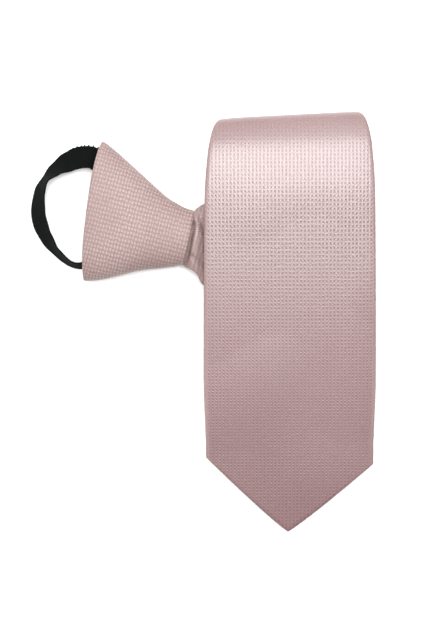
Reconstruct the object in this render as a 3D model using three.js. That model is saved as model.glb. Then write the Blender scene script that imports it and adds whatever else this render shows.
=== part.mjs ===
// A pre-tied necktie whose neck loop is a zip, lying face up and folded once over itself.
// The cloth strip runs from its point up the front, over a soft roll, down behind, round a
// slanting fold and into the small end of a hollow knot. Millimetres, +Z up.
import * as THREE from 'three';

// The cloth strip, measured flat along its middle from the point.
const strip = {
  width: 82.5,        // widest place of the front
  thickness: 2.8,     // two shells of cloth round an interlining
  frontLength: 189.8, // point to the line where the roll begins
  backRun: 60,        // end of the roll to the slanting fold
  tailRun: 61.4,      // slanting fold to the mouth of the knot
  tucked: 13,         // length held inside the knot
  pointHeight: 34.8,  // point to the shoulders
  pointLean: 1.6,     // half the difference between the two shoulders' heights
  pointBow: 1.08,     // above 1 the edges of the point bow outwards
  pointLength: 46,    // length in which the sections turn from the point's edges to square
  pointShift: -0.8,   // how far the point lies off the middle
  seamWidth: 5,       // shallow channel where the two edges meet behind
  seamDepth: 0.5,
};

// How the strip is laid.
const lay = {
  rollRadius: 8.85,      // to the middle of the cloth
  rollTilt: 3,           // degrees that the roll turns off square
  foldRadius: 1.7,       // to the middle of the cloth
  tailHeading: 164.8,    // degrees, the way from the fold to the knot
  slopeLength: 191,      // front that comes down to the surface
  slopeBend: 0.15,       // share of it in which the front bends off the level
  tuckRound: 0.92,       // 1 makes the gathered tail an ellipse, 0 leaves it flat
  drift: 0.6,            // how far the front slides sideways as it comes down
};

// The hollow knot, a flattened cone that is open at both ends.
const knot = {
  length: 50.5,
  rimHalfWidth: 33,
  rimHeight: 21,
  wall: 2,
  edgeShare: 0.45,   // height of the side edges, as a share of the section's height
  rimLean: 4.4,      // how far the rim leans back towards its lower corner
  rimBow: 2.3,       // how far the rim bows out between its corners
  footTurn: 2,       // how fast the side turns into the flat underside
  crown: 0.65,       // below 1 the top is fuller than an ellipse
};

// The zip: the tape of the neck loop, its teeth, the slider and the closed length.
const zip = {
  tapeWidth: 10.5,
  tapeThickness: 1,
  toothPitch: 2.4,
  toothWidth: 2.2,
  toothHeight: 1.1,
  toothReach: 0.7,     // how far a tooth stands out past the tape
  toothStep: 0.5,      // how far it stands out past the gap beside it
  closedLength: 58,
  closedWidth: 19,
  closedHeight: 2.1,   // tape and teeth together
  closedTeeth: 5,      // width of the two rows of teeth
  teethBevel: 0.4,
  closedCup: 2,        // how far the sides curl up inside the knot
  uncurl: 12,          // length in which they lie down again
  sliderLength: 8,
  sliderWidth: 9,
  sliderHeight: 4.4,
  sliderNose: 5,
};
const clearance = 0.35;

// Width of the flat strip: share of the way from point to mouth, share of strip.width.
const stripWidths = [
  { along: 0.00, width: 0.976 },
  { along: 0.11, width: 0.976 },
  { along: 0.22, width: 1.000 },
  { along: 0.40, width: 0.990 },
  { along: 0.48, width: 0.980 },
  { along: 0.54, width: 0.945 },
  { along: 0.565, width: 0.91 },
  { along: 0.58, width: 0.875 },
  { along: 0.60, width: 0.82 },
  { along: 0.70, width: 0.790 },
  { along: 0.84, width: 0.680 },
  { along: 1.00, width: 0.640 },
];

// The gathers of the tail. before: share of tailRun that is left before the mouth, up and
// down: share of the strip's half width, rise and puff: how far the cloth's height and
// thickness have gone from those at the fold to those inside the mouth.
const gathers = [
  { before: 1.000, up: 1.000, down: 1.000, rise: 0.00, puff: 0.00 },
  { before: 0.930, up: 1.000, down: 1.000, rise: 0.02, puff: 0.00 },
  { before: 0.720, up: 0.980, down: 0.980, rise: 0.50, puff: 0.00 },
  { before: 0.400, up: 0.880, down: 0.950, rise: 0.56, puff: 0.02 },
  { before: 0.225, up: 0.790, down: 0.800, rise: 0.75, puff: 0.15 },
  { before: 0.150, up: 0.720, down: 0.620, rise: 0.90, puff: 0.42 },
  { before: 0.080, up: 0.640, down: 0.565, rise: 1.04, puff: 0.85 },
  { before: 0.030, up: 0.500, down: 0.520, rise: 1.00, puff: 0.92 },
  { before: 0.000, up: 0.360, down: 0.365, rise: 1.00, puff: 1.00 },
  { before: -0.30, up: 0.340, down: 0.350, rise: 1.00, puff: 1.00 },
];

// Sections of the knot. along: share of its length from the mouth, up and down: share of
// rimHalfWidth, rise: share of rimHeight.
const knotSections = [
  { along: 0.00, up: 0.400, down: 0.405, rise: 0.80 },
  { along: 0.08, up: 0.405, down: 0.470, rise: 0.815 },
  { along: 0.17, up: 0.440, down: 0.535, rise: 0.83 },
  { along: 0.25, up: 0.475, down: 0.585, rise: 0.85 },
  { along: 0.36, up: 0.555, down: 0.650, rise: 0.88 },
  { along: 0.55, up: 0.705, down: 0.785, rise: 0.93 },
  { along: 0.76, up: 0.870, down: 0.920, rise: 0.98 },
  { along: 0.92, up: 0.985, down: 0.985, rise: 1.00 },
  { along: 1.00, up: 1.025, down: 1.000, rise: 1.00 },
];

// The neck loop's tape. along: share of the knot's length from its mouth, across: share of
// rimHalfWidth, height: share of rimHeight at the tape's middle, tilt: degrees from flat.
const loopPlaces = [
  { along: 0.460, across: 0.165, height: 0.22, tilt: 4 },
  { along: 0.600, across: 0.320, height: 0.33, tilt: 8 },
  { along: 0.800, across: 0.550, height: 0.42, tilt: 10 },
  { along: 1.010, across: 0.740, height: 0.43, tilt: 12 },
  { along: 1.150, across: 0.720, height: 0.38, tilt: 0 },
  { along: 1.260, across: 0.610, height: 0.34, tilt: -22 },
  { along: 1.360, across: 0.455, height: 0.33, tilt: -50 },
  { along: 1.430, across: 0.275, height: 0.33, tilt: -68 },
  { along: 1.450, across: 0.070, height: 0.33, tilt: -57 },
  { along: 1.417, across: -0.200, height: 0.33, tilt: -48 },
  { along: 1.362, across: -0.375, height: 0.33, tilt: -47 },
  { along: 1.265, across: -0.555, height: 0.34, tilt: -56 },
  { along: 1.130, across: -0.715, height: 0.38, tilt: -71 },
  { along: 0.950, across: -0.815, height: 0.45, tilt: -76 },
  { along: 0.800, across: -0.640, height: 0.44, tilt: -52 },
  { along: 0.600, across: -0.360, height: 0.33, tilt: -16 },
  { along: 0.460, across: -0.165, height: 0.22, tilt: -4 },
];

const cloth = new THREE.MeshStandardMaterial({ color: 0xd9b9b6, roughness: 0.5, metalness: 0 });
const tape = new THREE.MeshStandardMaterial({ color: 0x1c1d1d, roughness: 0.8, metalness: 0 });
const nylon = new THREE.MeshStandardMaterial({ color: 0x161616, roughness: 0.45, metalness: 0 });
const metal = new THREE.MeshStandardMaterial({ color: 0x2a2a2c, roughness: 0.35, metalness: 0.8 });

const { lerp, clamp, smoothstep, degToRad } = THREE.MathUtils;

// A value between the rows of a table, with straight lines between them.
function readTable(rows, key, place, column) {
  const order = [...rows].sort((a, b) => a[key] - b[key]);
  const at = clamp(place, order[0][key], order.at(-1)[key]);
  const next = Math.max(1, order.findIndex((row) => row[key] >= at));
  const a = order[next - 1];
  const b = order[next];
  return lerp(a[column], b[column], (at - a[key]) / (b[key] - a[key]));
}

function spread(count, from, to) {
  return Array.from({ length: count }, (_, i) => lerp(from, to, i / (count - 1)));
}

// A closed body through rings of points. A tube's two ends are capped from their middles,
// and a hoop's last ring joins its first.
function bodyOf(rings, hoop = false) {
  const around = rings[0].length;
  const points = rings.flat();
  const faces = [];
  const last = hoop ? rings.length : rings.length - 1;
  for (let i = 0; i < last; i += 1) {
    const here = i * around;
    const there = ((i + 1) % rings.length) * around;
    for (let j = 0; j < around; j += 1) {
      const k = (j + 1) % around;
      faces.push(here + j, there + j, there + k, here + j, there + k, here + k);
    }
  }
  if (!hoop) {
    [[0, 1], [rings.length - 1, -1]].forEach(([ring, side]) => {
      const middle = rings[ring].reduce((sum, p) => sum.add(p), new THREE.Vector3());
      points.push(middle.divideScalar(around));
      for (let j = 0; j < around; j += 1) {
        const a = ring * around + j;
        const b = ring * around + ((j + 1) % around);
        faces.push(points.length - 1, side > 0 ? a : b, side > 0 ? b : a);
      }
    });
  }
  const geometry = new THREE.BufferGeometry().setFromPoints(points);
  geometry.setIndex(volumeOf(points, faces) < 0 ? faces.reverse() : faces);
  geometry.computeVertexNormals();
  return geometry;
}

function volumeOf(points, faces) {
  let sum = 0;
  for (let i = 0; i < faces.length; i += 3) {
    const [a, b, c] = [points[faces[i]], points[faces[i + 1]], points[faces[i + 2]]];
    sum += a.dot(new THREE.Vector3().crossVectors(b, c));
  }
  return sum / 6;
}

// The two bends of the strip, seen from above. The roll's line passes through the origin.
const rollTurn = degToRad(lay.rollTilt);
const rollLine = new THREE.Vector2(Math.cos(rollTurn), Math.sin(rollTurn));
const rollAway = new THREE.Vector2(-rollLine.y, rollLine.x);
const rollArc = Math.PI * lay.rollRadius;
const backHeading = new THREE.Vector2(Math.sin(2 * rollTurn), -Math.cos(2 * rollTurn));
const tailTurn = degToRad(lay.tailHeading);
const tailHeading = new THREE.Vector2(Math.cos(tailTurn), Math.sin(tailTurn));
const tailUp = new THREE.Vector2(tailHeading.y, -tailHeading.x);
const foldLine = backHeading.clone().add(tailHeading).normalize().negate();
const foldAway = new THREE.Vector2(foldLine.y, -foldLine.x);
const foldArc = Math.PI * lay.foldRadius;
const foldPlace = backHeading.clone().multiplyScalar(strip.backRun);
const foldSlant = -Math.tan(Math.acos(foldAway.dot(backHeading)));
const mouth = foldPlace.clone()
  .addScaledVector(tailHeading, strip.tailRun)
  .addScaledVector(foldAway, foldArc);

// Places along the flat strip and heights above the surface.
const rollEnd = strip.frontLength + rollArc;
const foldAt = rollEnd + strip.backRun;
const mouthAt = foldAt + strip.tailRun;
const backMiddle = strip.thickness / 2;
const frontMiddle = backMiddle + 2 * lay.rollRadius;
const foldMiddle = backMiddle + 2 * lay.foldRadius;
const mouthHeight = knot.rimHeight * knotSections[0].rise;
const closedFloor = Math.max(knot.wall, strip.thickness) + clearance;
const tuckFloor = closedFloor + zip.closedHeight + clearance;
const tuckRoof = mouthHeight - knot.wall - clearance;
const tuckThickness = tuckRoof - tuckFloor;
const tuckMiddle = (tuckRoof + tuckFloor) / 2;

function halfWidth(along) {
  return readTable(stripWidths, 'along', along / mouthAt, 'width') * strip.width / 2;
}

// Share of the drop after a share of the slope: level at first, then a straight ramp.
function rampDrop(share) {
  const bend = lay.slopeBend;
  return (Math.hypot(clamp(share, 0, 1), bend) - bend) / (Math.hypot(1, bend) - bend);
}

// Where a point of the flat strip lies: across its middle line, along it, and above its
// middle surface on the face side.
function layStrip(across, along, above) {
  const past = along - strip.frontLength;
  const level = new THREE.Vector2(across, past);
  const beside = level.dot(rollLine);
  const beyond = level.dot(rollAway);
  if (beyond <= 0) {
    const slope = rampDrop(-beyond / lay.slopeLength);
    const height = frontMiddle + above - 2 * lay.rollRadius * slope;
    return new THREE.Vector3(across + lay.drift * slope, past, height);
  }
  const place = rollLine.clone().multiplyScalar(beside);
  if (beyond < rollArc) {
    const turn = beyond / lay.rollRadius;
    const reach = lay.rollRadius + above;
    place.addScaledVector(rollAway, reach * Math.sin(turn));
    const height = frontMiddle - lay.rollRadius + reach * Math.cos(turn);
    return new THREE.Vector3(place.x, place.y, height);
  }
  place.addScaledVector(rollAway, rollArc - beyond);
  const over = place.clone().sub(foldPlace).dot(foldAway);
  if (over <= 0) {
    return new THREE.Vector3(place.x, place.y, backMiddle - above);
  }
  if (over < foldArc) {
    const turn = over / lay.foldRadius;
    const reach = lay.foldRadius + above;
    place.addScaledVector(foldAway, reach * Math.sin(turn) - over);
    const height = backMiddle + lay.foldRadius - reach * Math.cos(turn);
    return new THREE.Vector3(place.x, place.y, height);
  }
  place.addScaledVector(foldAway, foldArc - 2 * over);
  return gatherTail(place, along, above);
}

// The tail narrows and thickens into the mouth, and its section turns round there.
function gatherTail(place, along, above) {
  const fromMouth = place.clone().sub(mouth);
  const before = -fromMouth.dot(tailHeading) / strip.tailRun;
  const across = fromMouth.dot(tailUp);
  const row = (column) => readTable(gathers, 'before', before, column);
  const puff = row('puff');
  const share = clamp(across / halfWidth(along), -1, 1);
  const round = lerp(1, Math.sqrt(1 - lay.tuckRound * share * share), Math.min(1, puff));
  const thick = lerp(1, tuckThickness / strip.thickness, puff) * round;
  const height = lerp(foldMiddle, tuckMiddle, row('rise')) + above * thick;
  const drawn = across * (across > 0 ? row('up') : row('down'));
  const at = fromMouth.addScaledVector(tailUp, drawn - across).add(mouth);
  return new THREE.Vector3(at.x, at.y, height);
}

// How finely the faceted solids are cut.
const facets = {
  faceCount: 13,
  backCount: 11,
  frontCount: 11,
  rollCount: 13,
  foldCount: 7,
  knotCount: 36,
  loopCount: 81,
  closedCount: 16,
};

// Points round a section of the strip, as distances across and above its middle.
function stripSection(half, thickness, seam) {
  const round = thickness / 2;
  const reach = half - round;
  const face = spread(facets.faceCount, reach, -reach).map((across) => [across, round]);
  const side = [0.7, 1, 1.3].map((turn) => Math.PI * turn / 2);
  const left = side.map((turn) => [-reach - round * Math.sin(turn), round * Math.cos(turn)]);
  const back = spread(facets.backCount, -reach, reach).map((across) => [across, -round]);
  const channel = [[-strip.seamWidth / 2, -round], [0, seam - round], [strip.seamWidth / 2, -round]];
  back.splice((facets.backCount - 1) / 2, 1, ...channel);
  const right = left.map(([across, above]) => [-across, above]).reverse();
  return [...face, ...left, ...back, ...right];
}

// The point of the strip: how far up the pointed edge starts at a share of the half width.
function pointEdge(share, half) {
  const peak = strip.pointShift / half;
  const side = share > peak ? 1 : -1;
  const climb = (share - peak) / (side - peak);
  return climb ** strip.pointBow * (strip.pointHeight - side * strip.pointLean);
}

// Rows from the point's edges up: share of pointLength, and share of the full thickness.
const edgeRows = [
  { share: 0.000, fullness: 0.35 },
  { share: 0.012, fullness: 0.80 },
  { share: 0.035, fullness: 1.00 },
  { share: 0.300, fullness: 1.00 },
  { share: 0.650, fullness: 1.00 },
  { share: 1.000, fullness: 1.00 },
];

function tieStrip() {
  const rings = [];
  edgeRows.forEach(({ share, fullness }) => {
    const half = halfWidth(strip.pointLength * share);
    const section = stripSection(half, strip.thickness, 0);
    rings.push(section.map(([across, above]) => {
      const along = lerp(pointEdge(clamp(across / half, -1, 1), half), strip.pointLength, share);
      return layStrip(across, along, above * fullness);
    }));
  });
  stations(strip.pointLength).forEach(([along, slant]) => {
    const section = stripSection(halfWidth(along), strip.thickness, strip.seamDepth);
    rings.push(section.map(([across, above]) => layStrip(across, along + slant * across, above)));
  });
  return bodyOf(rings);
}

// Shares of the way from the fold to the mouth, closer together where the tail gathers.
const tailShares = [0.14, 0.28, 0.5, 0.6, 0.7, 0.775, 0.85, 0.92, 0.97, 1];

// Places of the rings along the strip, and how much each one slants to follow a bend.
function stations(start) {
  const rollSlant = Math.tan(rollTurn);
  const front = spread(facets.frontCount, start, strip.frontLength).slice(1);
  const roll = spread(facets.rollCount, strip.frontLength, rollEnd).slice(1);
  const fold = spread(facets.foldCount, foldAt, foldAt + foldArc / foldAway.dot(backHeading));
  const between = (a, b, share) => [lerp(a[0], b[0], share), lerp(a[1], b[1], share)];
  const foldFirst = [fold[0], foldSlant];
  const foldLast = [fold.at(-1), foldSlant];
  const mouthRing = [mouthAt, 0];
  return [
    ...front.map((along) => [along, rollSlant * smoothstep(along, start, strip.frontLength)]),
    ...roll.map((along) => [along, rollSlant]),
    ...[0.3, 0.65].map((share) => between([rollEnd, rollSlant], foldFirst, share)),
    ...fold.map((along) => [along, foldSlant]),
    ...tailShares.map((share) => between(foldLast, mouthRing, share)),
    [mouthAt + strip.tucked * 0.5, 0],
    [mouthAt + strip.tucked, 0],
  ];
}

// A place in the knot's own frame: along from the mouth to the rim, across, and up.
function inKnot(along, across, height) {
  const at = mouth.clone().addScaledVector(tailHeading, along).addScaledVector(tailUp, across);
  return new THREE.Vector3(at.x, at.y, height);
}

// A section of the knot's surface, drawn in by inset.
function knotRing(along, inset) {
  const row = (column) => readTable(knotSections, 'along', along, column);
  const up = row('up') * knot.rimHalfWidth - inset;
  const down = row('down') * knot.rimHalfWidth - inset;
  const height = row('rise') * knot.rimHeight;
  const edge = height * knot.edgeShare;
  return spread(facets.knotCount + 1, 0, 2 * Math.PI).slice(0, -1).map((turn) => {
    const [side, lift] = [Math.cos(turn), Math.sin(turn)];
    const top = (height - inset - edge) * Math.abs(lift) ** knot.crown;
    const under = (edge - inset) * Math.min(1, knot.footTurn * Math.abs(lift));
    const bow = knot.rimLean * (side - 1) + knot.rimBow * (1 - Math.abs(side) ** 3);
    const place = knot.length * along + bow * along * along;
    return inKnot(place, side * (side > 0 ? up : down), edge + (lift > 0 ? top : -under));
  });
}

function knotWrap() {
  const places = knotSections.map((row) => row.along);
  const outside = places.map((along) => knotRing(along, 0));
  const inside = [...places].reverse().map((along) => knotRing(along, knot.wall));
  return bodyOf([...outside, ...inside], true);
}

// The loop's middle line and tilt, and its crosswise and facewise directions at a place.
const loopLine = new THREE.CatmullRomCurve3(loopPlaces.map((row) => new THREE.Vector3(
  row.along * knot.length, row.across * knot.rimHalfWidth, row.height * knot.rimHeight)));

function loopFrame(share) {
  const middle = loopLine.getPoint(share);
  const way = loopLine.getTangent(share);
  const outward = new THREE.Vector3(-way.y, way.x, 0).normalize();
  const row = share * (loopPlaces.length - 1);
  const before = Math.min(Math.floor(row), loopPlaces.length - 2);
  const between = smoothstep(row - before, 0, 1);
  const tilt = degToRad(lerp(loopPlaces[before].tilt, loopPlaces[before + 1].tilt, between));
  const up = new THREE.Vector3(0, 0, 1);
  const crosswise = outward.clone().multiplyScalar(Math.cos(tilt)).addScaledVector(up, Math.sin(tilt));
  const facewise = up.clone().multiplyScalar(Math.cos(tilt)).addScaledVector(outward, -Math.sin(tilt));
  return { middle, crosswise, facewise };
}

// A ring of the loop's tape or teeth, from its two edges across and its two faces.
function loopRing(share, inner, outer, low, high) {
  const { middle, crosswise, facewise } = loopFrame(share);
  return [[inner, low], [outer, low], [outer, high], [inner, high]].map(([across, above]) => {
    const p = middle.clone().addScaledVector(crosswise, across).addScaledVector(facewise, above);
    return inKnot(p.x, p.y, p.z);
  });
}

function neckLoop() {
  const half = zip.tapeWidth / 2;
  const thick = zip.tapeThickness / 2;
  return bodyOf(spread(facets.loopCount, 0, 1).map((share) => loopRing(share, -half, half, -thick, thick)));
}

// The teeth run under the tape along its outer edge.
function loopTeeth() {
  const count = Math.round(loopLine.getLength() / zip.toothPitch);
  const outer = zip.tapeWidth / 2 + zip.toothReach;
  const inner = outer - zip.toothWidth;
  const high = -zip.tapeThickness / 2 - clearance;
  const low = high - zip.toothHeight;
  const rings = [];
  for (let tooth = 0; tooth < count; tooth += 1) {
    [[0.02, 1], [0.48, 1], [0.52, 0], [0.98, 0]].forEach(([part, stands]) => {
      const edge = outer - zip.toothStep * (1 - stands);
      rings.push(loopRing((tooth + part) / count, inner, edge, low, high));
    });
  }
  return bodyOf(rings);
}

// The closed zip lies behind the tail, from the slider out through the mouth.
function closedZip() {
  const start = strip.tucked + 1;
  const half = zip.closedWidth / 2;
  const teeth = zip.closedTeeth / 2;
  const top = zip.closedHeight;
  const section = [[-half, 0], [-teeth, 0], [teeth, 0], [half, 0], [half, zip.tapeThickness],
    [teeth, zip.tapeThickness], [teeth - zip.teethBevel, top], [zip.teethBevel - teeth, top],
    [-teeth, zip.tapeThickness], [-half, zip.tapeThickness]];
  return bodyOf(spread(facets.closedCount, start, start - zip.closedLength).map((along) => {
    const curl = zip.closedCup * smoothstep(along, -zip.uncurl, 0);
    return section.map(([across, above]) => (
      inKnot(along, across, closedFloor + above + curl * (across / half) ** 2)));
  }));
}

// The slider is a plain block with a tapered nose.
function zipSlider() {
  const start = strip.tucked + 1 + clearance;
  const low = closedFloor;
  const ring = (along, width) => [[-1, 0], [1, 0], [1, 1], [-1, 1]].map(([side, top]) => (
    inKnot(along, side * width / 2, low + top * zip.sliderHeight)));
  return bodyOf([ring(start, zip.sliderNose), ring(start + zip.sliderLength / 2, zip.sliderWidth),
    ring(start + zip.sliderLength, zip.sliderWidth)]);
}

const tie = new THREE.Group();

function add(name, geometry, material) {
  const mesh = new THREE.Mesh(geometry, material);
  mesh.name = name;
  tie.add(mesh);
}

add('tie_strip', tieStrip(), cloth);
add('knot_wrap', knotWrap(), cloth);
add('neck_loop', neckLoop(), tape);
add('loop_teeth', loopTeeth(), nylon);
add('closed_zip', closedZip(), tape);
add('zip_slider', zipSlider(), metal);

// The origin is on the surface, under the middle of the whole tie.
const room = new THREE.Box3().setFromObject(tie);
const middle = room.getCenter(new THREE.Vector3());
tie.position.set(-middle.x, -middle.y, -room.min.z);

export default tie;
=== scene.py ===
"""Dresses the folded zipper tie: woven cloth, knot, zip tape and teeth, with light and camera."""

import math

import bmesh
import bpy
import numpy as np
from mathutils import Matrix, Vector

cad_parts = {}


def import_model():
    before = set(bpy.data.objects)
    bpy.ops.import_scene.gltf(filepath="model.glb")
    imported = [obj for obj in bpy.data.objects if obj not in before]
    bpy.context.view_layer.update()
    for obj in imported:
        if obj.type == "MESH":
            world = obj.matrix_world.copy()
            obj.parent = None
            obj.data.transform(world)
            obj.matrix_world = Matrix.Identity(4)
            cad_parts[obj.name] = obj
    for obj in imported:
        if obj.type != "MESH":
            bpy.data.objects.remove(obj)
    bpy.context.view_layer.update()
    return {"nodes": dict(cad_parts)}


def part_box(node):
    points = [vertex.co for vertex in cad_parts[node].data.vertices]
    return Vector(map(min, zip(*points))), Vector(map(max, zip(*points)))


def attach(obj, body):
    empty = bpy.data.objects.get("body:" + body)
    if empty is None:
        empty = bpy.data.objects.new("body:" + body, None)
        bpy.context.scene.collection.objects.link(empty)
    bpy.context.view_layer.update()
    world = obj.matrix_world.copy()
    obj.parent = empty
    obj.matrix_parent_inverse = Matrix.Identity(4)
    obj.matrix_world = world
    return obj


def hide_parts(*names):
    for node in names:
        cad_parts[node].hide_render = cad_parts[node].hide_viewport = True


MM = 0.001

# The cloth strip in millimetres, measured flat along its middle from the point.
WIDTH = 82.5
THICKNESS = 2.8
FRONT = 189.8
BACK_RUN = 60.0
TAIL_RUN = 61.4
TUCKED = 13.0
POINT_HEIGHT = 34.8
POINT_LEAN = 1.6     # how much higher the point's left shoulder is, and how much lower its right
POINT_SHIFT = -0.8   # how far its tip lies off the middle
POINT_BOW = 1.08     # how its edges bow in, 1 being straight
POINT_ZONE = 46.0    # length of strip that the rows of the pointed part share

# How it is laid.
ROLL_RADIUS = 8.85
ROLL_TURN = math.radians(3.0)
FOLD_RADIUS = 1.7
TAIL_TURN = math.radians(164.8)
SLOPE_LENGTH = 191.0
SLOPE_BEND = 0.15    # share of the slope in which the front bends off the level
DRIFT = 0.6          # how far the point lies aside of the roll
TUCK_ROUND = 0.92    # how round the gathered tail is, 1 being a full round
SOFT_LENGTH = 16.0   # cloth on each side of the roll that eases into it
SOFT_TURN = math.radians(12.0)

# The knot.
KNOT_LENGTH = 50.5
RIM_HALF = 33.0
RIM_HEIGHT = 21.0
KNOT_WALL = 2.0
EDGE_SHARE = 0.45    # height of its widest line, as a share of its own height
RIM_LEAN = 4.4       # half of how far the rim's lower corner lies behind its upper one
RIM_BOW = 2.3        # how far the rim bows out between them
FOOT_TURN = 2.0      # how fast the underside comes down to the flat
CROWN = 0.65         # how full the top is, less being fuller
LIP_UP = 1.2         # how far the small end reaches over the tail at its upper corner
LIP_DOWN = 2.9       # the same at its lower corner
LIP_SHARE = 0.3      # share of the knot's length over which that fades

# The zip.
TAPE_WIDTH = 10.5
TAPE_THICK = 1.0
TOOTH_PITCH = 1.45
TOOTH_REACH = 0.7
TOOTH_WIDTH = 2.2
TOOTH_HEIGHT = 1.1
CLOSED_LENGTH = 58.0
CLOSED_WIDTH = 19.0
CLOSED_HEIGHT = 2.1
CLOSED_CUP = 2.0     # how far the closed tapes' edges curl up in the knot
UNCURL = 12.0        # length over which that curl flattens out
CLOSED_START = 1.0   # how far the closed zip runs past the strip's end in the knot
CLEARANCE = 0.35

# The weave's small lattice, across and along the strip.
WEAVE_ACROSS = 1.76
WEAVE_ALONG = 1.71
KNOT_WEAVE = 1.48    # the same lattice where it is drawn together on the knot
KNOT_CUT = 150.0     # place along the cloth from which the knot's piece is cut
BEAT_LENGTH = 200.0  # length in which the picks lie closer together and then wider apart
BEAT_START = -math.pi / 2
BEAT_SHIFT = 20.0    # how far that moves the lattice, in radians of its turn

# Tables of shares, as place and value.
STRIP_WIDTHS = [(0.0, 0.976), (0.11, 0.976), (0.22, 1.0), (0.40, 0.99), (0.48, 0.98), (0.54, 0.945),
                (0.565, 0.91), (0.58, 0.875), (0.60, 0.82), (0.70, 0.79), (0.84, 0.68), (1.0, 0.64)]
# before the mouth, up, down, rise, puff
GATHERS = [(-0.3, 0.38, 0.39, 1.0, 1.0), (0.0, 0.40, 0.405, 1.0, 1.0),
           (0.015, 0.485, 0.485, 1.0, 0.97), (0.03, 0.535, 0.52, 1.0, 0.92),
           (0.08, 0.64, 0.565, 1.04, 0.85),
           (0.15, 0.72, 0.62, 0.90, 0.42), (0.225, 0.79, 0.80, 0.75, 0.15),
           (0.40, 0.88, 0.95, 0.56, 0.02), (0.72, 0.98, 0.98, 0.50, 0.0),
           (0.93, 1.0, 1.0, 0.02, 0.0), (1.0, 1.0, 1.0, 0.0, 0.0)]
# along the knot, up, down, rise
KNOT_SECTIONS = [(0.0, 0.40, 0.405, 0.80), (0.08, 0.405, 0.47, 0.815), (0.17, 0.44, 0.535, 0.83),
                 (0.25, 0.475, 0.585, 0.85), (0.36, 0.555, 0.65, 0.88), (0.55, 0.705, 0.785, 0.93),
                 (0.76, 0.87, 0.92, 0.98), (0.92, 0.985, 0.985, 1.0), (1.0, 1.025, 1.0, 1.0)]
# along the knot, across, height of the tape's middle, tilt in degrees
LOOP_PLACES = [(0.46, 0.165, 0.22, 4), (0.60, 0.32, 0.33, 8), (0.80, 0.55, 0.42, 10),
               (1.01, 0.74, 0.43, 12), (1.15, 0.72, 0.38, 0), (1.26, 0.61, 0.34, -22),
               (1.36, 0.455, 0.33, -50), (1.43, 0.275, 0.33, -68), (1.45, 0.07, 0.33, -57),
               (1.417, -0.2, 0.33, -48), (1.362, -0.375, 0.33, -47), (1.265, -0.555, 0.34, -56),
               (1.13, -0.715, 0.38, -71), (0.95, -0.82, 0.45, -78), (0.80, -0.72, 0.44, -76),
               (0.60, -0.40, 0.33, -30), (0.46, -0.165, 0.22, -4)]

# The tail's small folds beside the knot, in millimetres: each one's height and width, and its line,
# as the distance before the mouth where it crosses the tail's middle and the slant of that line.
# A fold fades in between two places across the tail, the lower crease between two before the mouth.
RIDGE = {"height": 1.5, "width": 2.8, "before": 5.6, "slant": -0.20}
GROOVE = {"height": 3.6, "width": 0.9, "before": 2.5, "slant": -0.09, "fade": (9.5, 6.0)}
VALLEY = {"height": 2.3, "width": 1.348, "before": 9.972, "slant": -0.52, "fade": (1.0, 6.0)}
LOWER_CREASE = {"height": 1.0, "width": 2.857, "before": -18.43, "slant": -2.857, "fade": (2.0, 6.0)}
WRINKLES = {"height": 0.16, "turn before": 2.3, "turn across": 0.6, "fade": (-2.0, -7.0)}
FOLD_SKIN = 0.6      # height above the middle at which the folds have their full height

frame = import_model()


# Reading the tables.
def smooth_table(rows, column, place):
    """A column's value at a place, along a smooth curve that doesn't overshoot its rows."""
    x = np.array([row[0] for row in rows], float)
    y = np.array([row[column] for row in rows], float)
    step, rise = np.diff(x), np.diff(y)
    slope = rise / step
    turn = np.zeros_like(y)
    same = slope[1:] * slope[:-1] > 0
    turn[1:-1][same] = 2 / (1 / slope[1:][same] + 1 / slope[:-1][same])
    at = np.clip(np.asarray(place, float), x[0], x[-1])
    k = np.clip(np.searchsorted(x, at) - 1, 0, len(step) - 1)
    t = (at - x[k]) / step[k]
    return (
        y[k] * (1 + 2 * t) * (1 - t) ** 2
        + turn[k] * step[k] * t * (1 - t) ** 2
        + y[k + 1] * t * t * (3 - 2 * t)
        + turn[k + 1] * step[k] * t * t * (t - 1)
    )


def ease(value, low, high):
    """Goes smoothly from 0 at low to 1 at high. low may be the larger of the two."""
    t = np.clip((value - low) / (high - low), 0, 1)
    return t * t * (3 - 2 * t)


def mix(a, b, share):
    return a + (b - a) * share


# The two bends seen from above. The roll's line passes through the plan's origin.
def heading(turn):
    return np.array([math.cos(turn), math.sin(turn)])


ROLL_LINE = heading(ROLL_TURN)
ROLL_AWAY = np.array([-ROLL_LINE[1], ROLL_LINE[0]])
ROLL_ARC = math.pi * ROLL_RADIUS
ROLL_SAMPLES = 601
BACK_HEADING = np.array([math.sin(2 * ROLL_TURN), -math.cos(2 * ROLL_TURN)])
TAIL_HEADING = heading(TAIL_TURN)
TAIL_UP = np.array([TAIL_HEADING[1], -TAIL_HEADING[0]])
FOLD_LINE = -(BACK_HEADING + TAIL_HEADING) / np.linalg.norm(BACK_HEADING + TAIL_HEADING)
FOLD_AWAY = np.array([FOLD_LINE[1], -FOLD_LINE[0]])
FOLD_ARC = math.pi * FOLD_RADIUS
FOLD_PLACE = BACK_HEADING * BACK_RUN
FOLD_SLANT = -math.tan(math.acos(FOLD_AWAY @ BACK_HEADING))
MOUTH = FOLD_PLACE + TAIL_HEADING * TAIL_RUN + FOLD_AWAY * FOLD_ARC

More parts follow.
